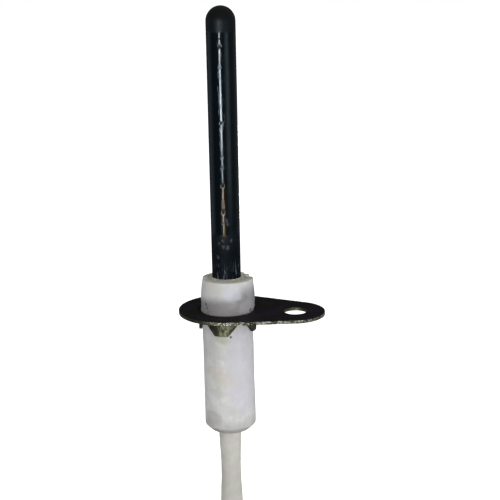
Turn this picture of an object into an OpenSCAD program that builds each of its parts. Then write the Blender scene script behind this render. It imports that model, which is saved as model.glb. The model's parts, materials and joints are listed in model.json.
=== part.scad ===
// Flame sensor probe: a sensing rod cemented in a ceramic insulator, which four spring teeth of a
// stamped bracket grip. The lead leaves the insulator's rear end in a sleeve, is stored as a tied
// hank, and ends in a push-on terminal under a boot that slides back along the lead.
// Millimetres. The origin is on the rod's axis, level with the bracket's mounting face. +Z points
// to the rod's tip and +X to the bracket's lug.

/* [Sensing rod] */
// Diameter of the rod, quarter inch stock
rod_d = 6.35; // [5.8:0.05:6.4]
// Height of the rod's tip above the mounting face
rod_tip_z = 66; // [30:1:120]
// Diameter of the turned stem at the rod's buried end
stem_d = 2.4; // [2:0.1:2.4]

/* [Insulator] */
// Diameter of the body that the teeth grip
body_d = 11.3; // [11.25:0.01:11.38]
// Widest diameter of the collar
collar_d = 12; // [11.6:0.1:12.2]
// Diameter at the collar's top edge
collar_top_d = 11.3; // [11:0.1:11.5]
// Height of the collar's top above the mounting face
collar_top_z = 7; // [6:0.5:9]
// Depth of the insulator's rear end below the mounting face
body_depth = 28.2; // [26:0.1:30]
// Chamfer round the rear end
rear_chamfer = 1.3; // [0.5:0.1:1.5]

/* [Bracket] */
// Thickness of the sheet
sheet_t = 0.7; // [0.5:0.05:0.9]
// Radius of the round end, about the rod's axis
disc_r = 10.8; // [9.5:0.1:13]
// Radius of the lug's end
lug_r = 7.15; // [5:0.05:8]
// Distance from the rod's axis to the centre of the lug's end
lug_x = 14.7; // [12:0.1:17]
// Diameter of the screw hole, clearance for a No. 10 or M5 screw
screw_hole_d = 5.08; // [4.2:0.02:5.5]
// Distance from the rod's axis to the screw hole
screw_hole_x = 15.35; // [14:0.05:16]

/* [Spring teeth] */
// Diameter inside the four teeth, a running fit on the body
tooth_bore_d = 11.4; // [11.4:0.01:11.44]
// Depth of the teeth's tips below the mounting face
tooth_depth = 4.65; // [3.5:0.05:6]
// Width of a tooth at its root
tooth_root_w = 7.8; // [5:0.1:7.8]
// Width of a tooth at its tip
tooth_tip_w = 3; // [2:0.1:4.5]

/* [Lead] */
// Diameter over the lead's insulation
lead_d = 3; // [2.4:0.1:3]
// Diameter of the sleeve where it leaves the insulator
sleeve_d = 5.1; // [4.6:0.1:5.2]
// Diameter at the sleeve's waist
sleeve_waist_d = 4.5; // [4.2:0.1:4.6]
// Depth of the sleeve's lower end below the mounting face
sleeve_depth = 52; // [50:1:54]

/* [Terminal] */
// Width of the flat tab that the terminal takes
tab_w = 6.35; // [6.3:0.05:6.4]
// Thickness of that tab
tab_t = 0.8; // [0.7:0.05:0.85]
// Width of the boot
boot_w = 9.6; // [9.4:0.1:10.4]
// Thickness of the boot
boot_t = 5.8; // [5.6:0.1:5.8]

/* [Hidden] */
$fn = 96;
cut = 1; // how far a cutting shape runs past the face that it cuts

// The rod's bore ends on a shoulder, and a wider bore behind it holds the splice and the sleeve.
rod_end_z = -7;
rod_bore_r = rod_d / 2 + 0.1;
splice_bore_r = 2.95;
cement_r = 4.4;
front_cement_z = collar_top_z - 1.5;
fillet = 0.35;
rear_cement_z = -body_depth + 2.6;
rear_cement_r = 3.8;
top_edge = 0.3;
shoulder_top_z = -0.1;
shoulder_low_z = -0.65;
widest_z = 3.6;
collar_low_d = collar_d - 0.2;

// A tooth leaves the sheet in a bend whose outside is tangent to the mounting face.
bend_r = sheet_t + 0.3;
bend_x = tooth_bore_d / 2 + bend_r;
land_r = bend_x - 0.4;
tooth_straight_z = -1.7;

// The stem and the lead's strands meet end to end inside the splice barrel.
stem_end_z = -15;
splice_top_z = -11;
splice_end_z = -20.5;
splice_r = 1.85;
crimp_depth = 0.3;
stem_crimp_z = -13.2;
strand_crimp_z = -17.5;
strand_r = 0.36;
lead_top_z = -21;
sleeve_top_z = -20.6;
sleeve_bore_r = 1.6;
sleeve_waist_z = -38.3;
sleeve_waist_l = 9.5; // from the waist to where the sleeve is full again

// The hank is two turns round two straight runs, one beside the other, and the tail lies on them.
hank_fold_r = 9.5;
hank_run = 60;
hank_top_z = -58;
hank_low_y = -1.5;
hank_high_y = 4.6;
hank_r = hank_fold_r + 1.5;
tail_run_y = 6.2;
hank_run_top_z = hank_top_z - hank_r;
tie_z = -85;
tie_w = 4.8;
tie_t = 1.1;

// The terminal hangs on the hank's back, under the run that the lead's tail follows.
tail_x = -hank_fold_r;
tail_y = 8.3;
tail_end_z = -121.9;
mouth_z = -138.5;
end_strands_z = -129.1;
receptacle_l = 8;
receptacle_floor_y = -1.5;
plate_t = 0.4;
strip_l = 9.2;
strip_w = 2.2;
conductor_crimp_z = 10;
conductor_crimp_r = 1.1;
conductor_crimp_l = 5;
insulation_crimp_z = 15.9;
insulation_crimp_l = 4;
boot_mouth_z = -140;
boot_shoulder_z = -117.6;
boot_neck_z = -113.2;
boot_neck_r = 2.55;
boot_neck_gap = 0.15;
boot_taper = 3;
boot_wall = 0.6;
boot_corner_r = 1.6;

// Routes of the lead's two free stretches, as points on its centre line.
wire_route = [
    [0, 0, lead_top_z], [0, 0, -28], [0, 0, -35], [0, 0, -42],
    [0, 0, -48], [-0.08, 0, -53], [-0.3, 0, -55.5], [-0.5, 0, hank_top_z],
];
tail_route = [
    [0, tail_run_y, -59.5], [-3.6, tail_run_y, -60.2], [-6.7, tail_run_y, -62.3],
    [-8.8, tail_run_y, -65.4], [tail_x, tail_run_y, -69], [tail_x, tail_run_y, -75],
    [tail_x, tail_run_y, -81], [tail_x, tail_run_y, -87],
    [tail_x, 6.6, -91], [tail_x, 7.2, -94], [tail_x, 7.9, -97], [tail_x, 8.2, -100],
    [tail_x, tail_y, -103], [tail_x, tail_y, -110], [tail_x, tail_y, -116],
    [tail_x, tail_y, tail_end_z],
];

function arc(centre, r, from, to, steps) =
    [for (i = [0:steps]) let (a = from + (to - from) * i / steps) centre + r * [cos(a), sin(a)]];

function unit(v) = v / norm(v);

// The direction of a route at its point i.
function heading(route, i) = unit(route[min(i + 1, len(route) - 1)] - route[max(i - 1, 0)]);

// One ring of a tube, square to the route at its point i. No route here runs along Y.
function ring(route, i, r, sides) =
    let (t = heading(route, i), side = unit(cross(t, [0, 1, 0])), up = cross(side, t))
    [for (k = [0:sides - 1]) let (a = 360 * (k + 0.5) / sides)
        route[i] + r * (cos(a) * side + sin(a) * up)];

// A closed tube along a route.
module tube(route, r, sides = 8) {
    rings = len(route);
    points = [for (i = [0:rings - 1]) each ring(route, i, r, sides)];
    walls = [for (i = [0:rings - 2], k = [0:sides - 1])
        let (n = (k + 1) % sides)
        [i * sides + k, (i + 1) * sides + k, (i + 1) * sides + n, i * sides + n]];
    first = [for (k = [0:sides - 1]) k];
    last = [for (k = [sides - 1:-1:0]) (rings - 1) * sides + k];
    polyhedron(points, concat([first], walls, [last]));
}

// Radius of the sleeve at height z: a smooth waist between two full ends.
function sleeve_r(z) =
    let (u = min(1, abs(z - sleeve_waist_z) / sleeve_waist_l), waist = sleeve_waist_d / 2)
    waist + (sleeve_d / 2 - waist) * (1 - cos(180 * u)) / 2;

// Seven strands, one in the middle of six.
module strands(low_z, high_z) {
    for (k = [0:6]) {
        out = k == 6 ? 0 : 2 * strand_r + 0.01;
        rotate(60 * k) translate([out, 0, low_z]) cylinder(r = strand_r, h = high_z - low_z, $fn = 24);
    }
}

// A rectangle with round corners, centred on the origin.
module round_rect(w, h, r) {
    square([w - 2 * r, h], center = true);
    square([w, h - 2 * r], center = true);
    for (x = [-1, 1], y = [-1, 1])
        translate([x * (w / 2 - r), y * (h / 2 - r)]) circle(r = r);
}

module sensing_rod() {
    r = rod_d / 2;
    tip = arc([0, rod_tip_z - r], r, 90, 0, 14);
    color([0.11, 0.13, 0.14])
    rotate_extrude()
    polygon(concat(tip, [
        [r, rod_end_z], [stem_d / 2, rod_end_z], [stem_d / 2, stem_end_z], [0, stem_end_z],
    ]));
}

module insulator() {
    body_r = body_d / 2;
    top_r = collar_top_d / 2;
    color([0.80, 0.79, 0.77])
    difference() {
        rotate_extrude()
        polygon([
            [0, collar_top_z], [top_r - top_edge, collar_top_z], [top_r, collar_top_z - top_edge],
            [collar_d / 2, widest_z], [collar_low_d / 2, shoulder_top_z], [body_r, shoulder_low_z],
            [body_r, -body_depth + rear_chamfer], [body_r - rear_chamfer, -body_depth],
            [0, -body_depth],
        ]);
        translate([0, 0, rod_end_z]) cylinder(r = rod_bore_r, h = collar_top_z - rod_end_z + cut);
        translate([0, 0, front_cement_z]) cylinder(r = cement_r, h = collar_top_z);
        translate([0, 0, -body_depth - cut])
            cylinder(r = splice_bore_r, h = body_depth + rod_end_z + cut);
        translate([0, 0, -body_depth - cut])
            cylinder(r = rear_cement_r, h = rear_cement_z + body_depth + cut);
    }
}

// Seal round the rod, flush with the collar and drawn up a little where it meets the metal.
module front_cement() {
    color([0.62, 0.61, 0.59])
    rotate_extrude()
    polygon([
        [rod_d / 2, front_cement_z], [cement_r, front_cement_z], [cement_r, collar_top_z - 0.1],
        [rod_d / 2 + fillet, collar_top_z], [rod_d / 2, collar_top_z + fillet],
    ]);
}

// Plug of cement round the sleeve, flush with the insulator's rear end.
module rear_cement() {
    color([0.70, 0.68, 0.62])
    translate([0, 0, -body_depth + 0.2])
    difference() {
        cylinder(r = rear_cement_r, h = rear_cement_z + body_depth - 0.2);
        translate([0, 0, -cut]) cylinder(r = sleeve_d / 2, h = body_depth);
    }
}

// The bracket's outline: two circles and the tangents that join them.
module bracket_outline() {
    lean = acos((disc_r - lug_r) / lug_x);
    circle(r = disc_r);
    translate([lug_x, 0]) circle(r = lug_r);
    polygon([
        disc_r * [cos(lean), sin(lean)], disc_r * [cos(lean), -sin(lean)],
        [lug_x, 0] + lug_r * [cos(lean), -sin(lean)], [lug_x, 0] + lug_r * [cos(lean), sin(lean)],
    ]);
}

module bracket_plate() {
    translate([0, 0, -sheet_t])
    linear_extrude(sheet_t)
    difference() {
        bracket_outline();
        circle(r = land_r);
        for (a = [0:90:270])
            rotate(a)
            intersection() {
                circle(r = bend_x);
                translate([0, -tooth_root_w / 2]) square([disc_r, tooth_root_w]);
            }
        translate([screw_hole_x, 0]) circle(d = screw_hole_d);
    }
}

// One spring tooth, turned down from the sheet and curved round the insulator's body.
module spring_tooth() {
    bend = [bend_x, -bend_r];
    intersection() {
        rotate_extrude()
        polygon(concat(
            arc(bend, bend_r, 90, 180, 8),
            [[tooth_bore_d / 2, -tooth_depth], [tooth_bore_d / 2 + sheet_t, -tooth_depth]],
            arc(bend, bend_r - sheet_t, 180, 90, 4)
        ));
        rotate([90, 0, 90])
        linear_extrude(disc_r)
        polygon([
            [-tooth_root_w / 2, cut], [tooth_root_w / 2, cut],
            [tooth_root_w / 2, tooth_straight_z], [tooth_tip_w / 2, -tooth_depth],
            [-tooth_tip_w / 2, -tooth_depth], [-tooth_root_w / 2, tooth_straight_z],
        ]);
    }
}

module mounting_bracket() {
    color([0.22, 0.22, 0.20])
    union() {
        bracket_plate();
        for (a = [0:90:270])
            rotate(a) spring_tooth();
    }
}

// Profile points of a crimp in the splice barrel, centred on height z.
function crimp(z) = [
    [splice_r, z + 0.85], [splice_r - crimp_depth, z + 0.35],
    [splice_r - crimp_depth, z - 0.35], [splice_r, z - 0.85],
];

// Barrel with two crimps, one on the stem and one on the lead's strands.
module splice_barrel() {
    color([0.75, 0.74, 0.70])
    rotate_extrude()
    polygon(concat(
        [[stem_d / 2, splice_top_z], [splice_r, splice_top_z]],
        crimp(stem_crimp_z), crimp(strand_crimp_z),
        [[splice_r, splice_end_z], [stem_d / 2, splice_end_z]]
    ));
}

module splice_strands() {
    color([0.80, 0.50, 0.32]) strands(lead_top_z, stem_end_z - 0.1);
}

module lead_sleeve() {
    steps = 18;
    low_z = -sleeve_depth;
    color([0.72, 0.71, 0.67])
    rotate_extrude()
    polygon(concat(
        [[sleeve_bore_r, low_z]],
        [for (i = [0:steps]) let (z = low_z + (-body_depth - low_z) * i / steps) [sleeve_r(z), z]],
        [[sleeve_d / 2, sleeve_top_z], [sleeve_bore_r, sleeve_top_z]]
    ));
}

module lead_wire() {
    color([0.80, 0.79, 0.75]) tube(wire_route, lead_d / 2);
}

// Outer shape of the two turns of the stored lead.
module lead_hank() {
    color([0.80, 0.79, 0.75])
    translate([0, hank_high_y, hank_run_top_z])
    rotate([90, 0, 0])
    linear_extrude(hank_high_y - hank_low_y)
    union() {
        circle(r = hank_r);
        translate([0, -hank_run]) circle(r = hank_r);
        translate([-hank_r, -hank_run]) square([2 * hank_r, hank_run]);
    }
}

// Nylon tie round the hank and the tail, with its head at the front.
module hank_tie() {
    gap = 0.05;
    x = hank_r + gap;
    front_y = hank_low_y - gap;
    back_y = hank_high_y + gap;
    over_y = tail_run_y + lead_d / 2 + gap;
    over_x = -x + lead_d + 0.2;
    head = [5, 3, 6];
    color([0.88, 0.88, 0.84])
    union() {
        translate([0, 0, tie_z - tie_w / 2])
        linear_extrude(tie_w)
        difference() {
            polygon([
                [-x - tie_t, front_y - tie_t], [x + tie_t, front_y - tie_t],
                [x + tie_t, back_y + tie_t], [over_x, over_y + tie_t], [-x - tie_t, over_y + tie_t],
            ]);
            polygon([
                [-x, front_y], [x, front_y], [x, back_y], [over_x, over_y], [-x, over_y],
            ]);
        }
        translate([-head.x / 2, front_y - head.y, tie_z - head.z / 2]) cube(head);
    }
}

module lead_tail() {
    color([0.80, 0.79, 0.75]) tube(tail_route, lead_d / 2);
}

// Cross-section of the receptacle: a floor with both sides rolled over the tab.
module receptacle_section() {
    roll_r = 1.3;
    floor_y = receptacle_floor_y;
    roll_x = tab_w / 2 - 0.6;
    difference() {
        union() {
            translate([-roll_x, floor_y]) square([2 * roll_x, plate_t]);
            for (side = [-1, 1])
                translate([side * roll_x, floor_y + roll_r])
                difference() {
                    circle(r = roll_r);
                    circle(r = roll_r - plate_t);
                }
        }
        translate([-tab_w / 2, floor_y + plate_t]) square([tab_w, tab_t + 0.05]);
    }
}

// A barrel rolled from sheet, with its seam on the +Y side.
module rolled_barrel(r, h, seam) {
    difference() {
        cylinder(r = r + plate_t, h = h);
        translate([0, 0, -cut]) cylinder(r = r, h = h + 2 * cut);
        translate([-seam / 2, 0, -cut]) cube([seam, 2 * r, h + 2 * cut]);
    }
}

// Push-on receptacle, with one crimp on the bare strands and one on the insulation.
module terminal() {
    color([0.80, 0.76, 0.55])
    translate([tail_x, tail_y, mouth_z])
    union() {
        linear_extrude(receptacle_l) receptacle_section();
        translate([-strip_w / 2, receptacle_floor_y, receptacle_l - cut])
            cube([strip_w, plate_t, strip_l]);
        translate([0, 0, conductor_crimp_z])
            rolled_barrel(conductor_crimp_r, conductor_crimp_l, 0.2);
        translate([0, 0, insulation_crimp_z])
            rolled_barrel(lead_d / 2 + 0.02, insulation_crimp_l, 0.4);
    }
}

module terminal_strands() {
    color([0.80, 0.50, 0.32])
    translate([tail_x, tail_y, 0]) strands(end_strands_z, tail_end_z);
}

// Boot over the terminal: a flat hood that narrows to a neck round the lead.
module terminal_boot() {
    hood_l = boot_shoulder_z - boot_mouth_z;
    cavity_w = boot_w - 2 * boot_wall;
    cavity_t = boot_t - 2 * boot_wall;
    cone_r = boot_w / 2 + 0.4;
    color([0.30, 0.32, 0.36])
    translate([tail_x, tail_y, boot_mouth_z])
    difference() {
        union() {
            linear_extrude(hood_l) round_rect(boot_w, boot_t, boot_corner_r);
            translate([0, 0, hood_l])
            intersection() {
                linear_extrude(boot_taper) round_rect(boot_w, boot_t, boot_corner_r);
                cylinder(r1 = cone_r, r2 = boot_neck_r, h = boot_taper);
            }
            cylinder(r = boot_neck_r, h = boot_neck_z - boot_mouth_z);
        }
        translate([0, 0, -cut])
        linear_extrude(hood_l + cut - boot_wall)
        round_rect(cavity_w, cavity_t, boot_corner_r - boot_wall);
        translate([0, 0, -cut])
            cylinder(r = lead_d / 2 + boot_neck_gap, h = boot_neck_z - boot_mouth_z + 2 * cut);
    }
}

sensing_rod();
insulator();
front_cement();
rear_cement();
mounting_bracket();
splice_barrel();
splice_strands();
lead_sleeve();
lead_wire();
lead_hank();
hank_tie();
lead_tail();
terminal();
terminal_strands();
terminal_boot();
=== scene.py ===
"""Looks of the flame sensor probe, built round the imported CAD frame. Lengths in the tables of
points and profiles are millimetres in the shared frame; everything that Blender holds is metres."""

import json
import math

import bmesh
import bpy
import numpy as np
from mathutils import Matrix, Vector, geometry, noise


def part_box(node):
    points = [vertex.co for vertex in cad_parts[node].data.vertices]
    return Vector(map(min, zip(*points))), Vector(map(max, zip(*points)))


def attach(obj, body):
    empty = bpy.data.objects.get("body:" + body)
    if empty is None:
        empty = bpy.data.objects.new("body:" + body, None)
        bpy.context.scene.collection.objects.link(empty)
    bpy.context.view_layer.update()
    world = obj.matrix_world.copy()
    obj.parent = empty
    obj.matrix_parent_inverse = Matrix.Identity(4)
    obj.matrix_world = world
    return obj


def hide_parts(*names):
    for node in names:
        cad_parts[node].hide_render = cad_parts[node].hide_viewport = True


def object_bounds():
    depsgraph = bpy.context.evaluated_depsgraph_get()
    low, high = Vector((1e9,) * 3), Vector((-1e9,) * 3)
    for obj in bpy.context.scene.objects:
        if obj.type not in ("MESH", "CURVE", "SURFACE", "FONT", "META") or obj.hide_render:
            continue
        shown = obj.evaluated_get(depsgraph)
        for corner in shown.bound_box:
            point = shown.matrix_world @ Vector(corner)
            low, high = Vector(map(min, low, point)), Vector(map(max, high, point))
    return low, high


MM = 0.001
WHITE = (1, 1, 1, 1)

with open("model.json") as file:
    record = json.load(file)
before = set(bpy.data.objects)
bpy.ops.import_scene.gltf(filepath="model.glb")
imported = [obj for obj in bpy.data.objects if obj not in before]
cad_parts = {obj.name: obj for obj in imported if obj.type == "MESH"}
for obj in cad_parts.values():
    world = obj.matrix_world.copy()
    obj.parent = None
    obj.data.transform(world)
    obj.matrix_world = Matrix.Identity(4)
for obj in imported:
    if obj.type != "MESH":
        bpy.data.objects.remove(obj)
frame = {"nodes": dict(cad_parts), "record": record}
cad_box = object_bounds()
record = frame["record"]
mounts = {m["name"]: m for m in record["mounts"]}


def box_mm(node):
    """A CAD node's lowest and highest corners, in millimetres."""
    low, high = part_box(node)
    return low / MM, high / MM


# ---------------- camera

CAMERA_AZIMUTH = 11.8
CAMERA_ELEVATION = 14.33
CAMERA_ROLL = -1.08
CAMERA_DISTANCE = 0.2517
CAMERA_AIM = Vector((0.0054, 0.0, 0.0135))
CAMERA_LENS = 82.8
SENSOR = 36.0


def direction(azimuth, elevation):
    """Unit vector from the object towards a viewer at this azimuth and elevation, in degrees."""
    a, e = math.radians(azimuth), math.radians(elevation)
    return Vector((math.sin(a) * math.cos(e), -math.cos(a) * math.cos(e), math.sin(e)))


def facing(back, roll=0.0):
    """Rotation matrix of a camera or lamp whose back points along back."""
    side = Vector((0, 0, 1)).cross(back).normalized()
    up = back.cross(side)
    turn = math.radians(roll)
    x = side * math.cos(turn) + up * math.sin(turn)
    y = up * math.cos(turn) - side * math.sin(turn)
    return Matrix((x, y, back)).transposed().to_4x4()


def new_object(name, data):
    obj = bpy.data.objects.new(name, data)
    bpy.context.scene.collection.objects.link(obj)
    return obj


def make_camera():
    data = bpy.data.cameras.new("camera")
    data.lens = CAMERA_LENS
    data.sensor_width = SENSOR
    data.clip_start = 0.01
    data.clip_end = 50
    camera = new_object("camera", data)
    back = direction(CAMERA_AZIMUTH, CAMERA_ELEVATION)
    place = Matrix.Translation(CAMERA_AIM + back * CAMERA_DISTANCE)
    camera.matrix_world = place @ facing(back, CAMERA_ROLL)
    bpy.context.scene.camera = camera


# ---------------- mesh tools


def add_mesh(name, points_mm, faces, material, smooth_angle=40):
    """A mesh object from points in millimetres, with sharp edges above smooth_angle degrees."""
    mesh = bpy.data.meshes.new(name)
    mesh.from_pydata([tuple(float(c) * MM for c in p) for p in points_mm], [], faces)
    mesh.validate()
    finish_mesh(mesh, smooth_angle)
    mesh.materials.append(material)
    return new_object(name, mesh)


def finish_mesh(mesh, smooth_angle=40):
    """Outward normals, smooth faces and sharp edges."""
    bm = bmesh.new()
    bm.from_mesh(mesh)
    bmesh.ops.recalc_face_normals(bm, faces=bm.faces)
    limit = math.radians(smooth_angle)
    for face in bm.faces:
        face.smooth = True
    for edge in bm.edges:
        edge.smooth = len(edge.link_faces) == 2 and edge.calc_face_angle(0) < limit
    bm.to_mesh(mesh)
    bm.free()


def apply_modifiers(obj):
    """Puts obj's modifiers into its mesh."""
    graph = bpy.context.evaluated_depsgraph_get()
    mesh = bpy.data.meshes.new_from_object(obj.evaluated_get(graph))
    obj.modifiers.clear()
    obj.data = mesh
    finish_mesh(mesh)


def bevel(obj, width_mm, segments=2, angle=35):
    modifier = obj.modifiers.new("bevel", "BEVEL")
    modifier.width = width_mm * MM
    modifier.segments = segments
    modifier.limit_method = "ANGLE"
    modifier.angle_limit = math.radians(angle)
    apply_modifiers(obj)


def arc(centre, r, start, end, steps):
    """Points on an arc, from one angle to another in degrees."""
    return [
        (centre[0] + r * math.cos(math.radians(a)), centre[1] + r * math.sin(math.radians(a)))
        for a in np.linspace(start, end, steps + 1)
    ]


def rounded(corners, steps=4):
    """A closed outline from (x, y, radius) corners, each rounded by a curve of about that radius."""
    points = []
    count = len(corners)
    for i in range(count):
        here = np.array(corners[i][:2], float)
        radius = corners[i][2]
        if radius == 0:
            points.append(here)
            continue
        before = np.array(corners[i - 1][:2], float) - here
        after = np.array(corners[(i + 1) % count][:2], float) - here
        a = here + before / np.linalg.norm(before) * min(radius, np.linalg.norm(before) / 2.01)
        b = here + after / np.linalg.norm(after) * min(radius, np.linalg.norm(after) / 2.01)
        for t in np.linspace(0, 1, steps + 1):
            points.append((1 - t) ** 2 * a + 2 * t * (1 - t) * here + t * t * b)
    return points


def split(points, step, closed=True):
    """The same line with no gap longer than step."""
    out = []
    pairs = list(zip(points, points[1:] + points[:1])) if closed else list(zip(points, points[1:]))
    for a, b in pairs:
        a, b = np.array(a, float), np.array(b, float)
        n = max(1, math.ceil(np.linalg.norm(b - a) / step - 1e-6))
        out += [a + (b - a) * k / n for k in range(n)]
    if not closed:
        out.append(np.array(points[-1], float))
    return out


def tube_faces(rings, around, closed=False):
    """Quads between neighbouring rings of points, with around points in each."""
    faces = []
    for i in range(rings if closed else rings - 1):
        j = (i + 1) % rings
        for k in range(around):
            n = (k + 1) % around
            faces.append((i * around + k, i * around + n, j * around + n, j * around + k))
    return faces


def lathe(name, profile, sides, material, change=None):
    """A solid of revolution from (r, z) points. A closed profile gives a ring; one that starts and
    ends on the axis gives a full solid. change(r, angle, z) returns the new (r, z) of a point."""
    on_axis = profile[0][0] < 1e-6
    rings = profile[1:-1] if on_axis else profile
    points = []
    for r, z in rings:
        for k in range(sides):
            angle = 2 * math.pi * k / sides
            new_r, new_z = change(r, angle, z) if change else (r, z)
            points.append((new_r * math.cos(angle), new_r * math.sin(angle), new_z))
    faces = tube_faces(len(rings), sides, not on_axis)
    if on_axis:
        for end, ring in ((profile[0], 0), (profile[-1], len(rings) - 1)):
            tip = len(points)
            points.append((0.0, 0.0, end[1]))
            faces += [(ring * sides + k, ring * sides + (k + 1) % sides, tip) for k in range(sides)]
    return add_mesh(name, points, faces, material)


def frames(path):
    """Unit side and up vectors along a path, turning as little as possible."""
    path = np.array(path, float)
    tangents = np.gradient(path, axis=0)
    tangents /= np.linalg.norm(tangents, axis=1)[:, None]
    side = np.cross(tangents[0], (0, 1, 0))
    side /= np.linalg.norm(side)
    sides = []
    for t in tangents:
        side = side - t * side.dot(t)
        side /= np.linalg.norm(side)
        sides.append(side)
    sides = np.array(sides)
    return sides, np.cross(sides, tangents)


def sweep(name, path, section, material):
    """section, a list of (side, up) points, swept along path and closed at both ends."""
    side, up = frames(path)
    count, around = len(path), len(section)
    points = []
    for i in range(count):
        points += [np.array(path[i]) + (u * side[i] + v * up[i]) for u, v in section]
    faces = tube_faces(count, around)
    faces += [tuple(range(around)), tuple((count - 1) * around + k for k in range(around))]
    return add_mesh(name, points, faces, material)


def circle(r, sides):
    angles = [2 * math.pi * k / sides for k in range(sides)]
    return [(r * math.cos(a), r * math.sin(a)) for a in angles]


def resample(points, step):
    """A smooth line near given points: cut into steps, then averaged, with its ends kept."""
    line = np.array(split(points, step, closed=False))
    for _ in range(30):
        line[1:-1] = 0.25 * line[:-2] + 0.5 * line[1:-1] + 0.25 * line[2:]
    return line


def bumps(point, scale, octaves=3):
    """Smooth noise from about -1 to 1 at a point in millimetres, with features about scale across."""
    total, weight = 0.0, 1.0
    place = Vector(point) / scale
    for _ in range(octaves):
        total += weight * noise.noise(place)
        place *= 2.1
        weight *= 0.5
    return total


# ---------------- material tools


class Shade:
    """A node material, written as calls that return sockets. Coordinates are object millimetres."""

    def __init__(self, name, **constants):
        self.material = bpy.data.materials.new(name)
        self.material.use_nodes = True
        self.tree = self.material.node_tree
        self.shader = self.tree.nodes["Principled BSDF"]
        for socket, value in constants.items():
            self.shader.inputs[socket.replace("_", " ")].default_value = value
        where = self.node("ShaderNodeTexCoord").outputs["Object"]
        self.place = self.vector("MULTIPLY", where, (1 / MM, 1 / MM, 1 / MM))

    def node(self, kind, **settings):
        node = self.tree.nodes.new(kind)
        for key, value in settings.items():
            setattr(node, key, value)
        return node

    def fill(self, node, **values):
        """Sets or links a node's inputs by name."""
        for socket, value in values.items():
            self.put(node.inputs[socket], value)

    def put(self, socket, value):
        if isinstance(value, bpy.types.NodeSocket):
            self.tree.links.new(value, socket)
        elif isinstance(value, tuple) and len(value) == 3 and socket.type == "RGBA":
            socket.default_value = (*value, 1.0)
        else:
            socket.default_value = value

    def vector(self, operation, a, b):
        node = self.node("ShaderNodeVectorMath", operation=operation)
        self.put(node.inputs[0], a)
        self.put(node.inputs[1], b)
        return node.outputs["Value" if operation in ("DISTANCE", "LENGTH", "DOT_PRODUCT") else "Vector"]

    def math(self, operation, a, b=0.0, clamp=False):
        node = self.node("ShaderNodeMath", operation=operation, use_clamp=clamp)
        self.put(node.inputs[0], a)
        self.put(node.inputs[1], b)
        return node.outputs[0]

    def noise(self, size, detail=3.0, rough=0.55, stretch=(1, 1, 1), distortion=0.0, shift=(0, 0, 0)):
        """Noise from 0 to 1 with features about size millimetres across, longer along stretch."""
        where = self.vector("ADD", self.place, shift)
        where = self.vector("DIVIDE", where, tuple(size * s for s in stretch))
        node = self.node("ShaderNodeTexNoise")
        self.fill(node, Vector=where, Scale=1.0, Detail=detail, Roughness=rough, Distortion=distortion)
        return node.outputs["Fac"]

    def cells(self, size):
        """Distance to scattered points about size millimetres apart."""
        where = self.vector("DIVIDE", self.place, (size, size, size))
        node = self.node("ShaderNodeTexVoronoi")
        self.fill(node, Vector=where, Scale=1.0)
        return node.outputs["Distance"]

    def fade(self, value, low, high):
        """0 below low, 1 above high, and smooth between. low may be the larger one."""
        node = self.node("ShaderNodeMapRange", interpolation_type="SMOOTHSTEP")
        self.put(node.inputs["Value"], value)
        ends = (min(low, high), max(low, high), float(low > high), float(low < high))
        for socket, end in zip(("From Min", "From Max", "To Min", "To Max"), ends):
            self.put(node.inputs[socket], end)
        return node.outputs["Result"]

    def plus(self, a, b):
        return self.math("ADD", a, b)

    def times(self, a, b):
        return self.math("MULTIPLY", a, b)

    def scaled(self, value, gain, offset):
        return self.plus(self.times(value, gain), offset)

    def mix(self, share, a, b, most=1.0):
        """Colour a, with share of colour b, where a share of 1 stands for most."""
        if most != 1.0:
            share = self.times(share, most)
        node = self.node("ShaderNodeMix", data_type="RGBA")
        self.put(node.inputs["Factor"], share)
        self.put(node.inputs[6], a)
        self.put(node.inputs[7], b)
        return node.outputs[2]

    def axis(self, index):
        """The X, Y or Z of the place, in millimetres."""
        node = self.node("ShaderNodeSeparateXYZ")
        self.put(node.inputs[0], self.place)
        return node.outputs[index]

    def spot(self, centre, radius, ragged=0.5, stretch=(1, 1, 1), size=1.2):
        """A patch about a point in millimetres, 1 inside and 0 outside, with a ragged edge."""
        away = self.vector("SUBTRACT", self.place, centre)
        away = self.vector("DIVIDE", away, tuple(radius * s for s in stretch))
        far = self.vector("LENGTH", away, (0, 0, 0))
        wobble = self.times(self.math("SUBTRACT", self.noise(size, 3.0), 0.5), 2 * ragged)
        return self.fade(self.plus(far, wobble), 1.15, 0.55)

    def colour(self, value):
        self.put(self.shader.inputs["Base Color"], value)

    def roughness(self, value):
        self.put(self.shader.inputs["Roughness"], value)

    def bump(self, height, depth_mm):
        """Bump from a height of 0 to 1 that stands for depth_mm. Calls add up."""
        node = self.node("ShaderNodeBump")
        self.fill(node, Strength=1.0, Distance=depth_mm * MM, Height=height)
        old = self.shader.inputs["Normal"]
        if old.is_linked:
            self.put(node.inputs["Normal"], old.links[0].from_socket)
        self.put(old, node.outputs["Normal"])

    def edge_wear(self):
        """1 on convex edges and 0 on faces, broken up by noise, from the bevelled normal."""
        soft = self.node("ShaderNodeBevel", samples=6)
        self.put(soft.inputs["Radius"], 0.16 * MM)
        flat = self.node("ShaderNodeNewGeometry").outputs["Normal"]
        turn = self.vector("DOT_PRODUCT", soft.outputs[0], flat)
        worn = self.fade(turn, 0.995, 0.90)
        return self.times(worn, self.fade(self.noise(0.8, 3), 0.35, 0.6))

    def cut_edge(self):
        """1 on the sheet's cut edge round its outline and in its hole, by the way it faces."""
        parts = self.node("ShaderNodeSeparateXYZ")
        self.put(parts.inputs[0], self.node("ShaderNodeNewGeometry").outputs["True Normal"])
        upright = self.fade(self.math("ABSOLUTE", parts.outputs[2]), 0.75, 0.35)
        return self.times(upright, self.fade(self.axis(2), -0.85, -0.72))


def on_side(angle, r, z):
    """A point on a round part, at an angle in degrees from +X."""
    return (r * math.cos(math.radians(angle)), r * math.sin(math.radians(angle)), z)


# ---------------- lead: route and length

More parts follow.
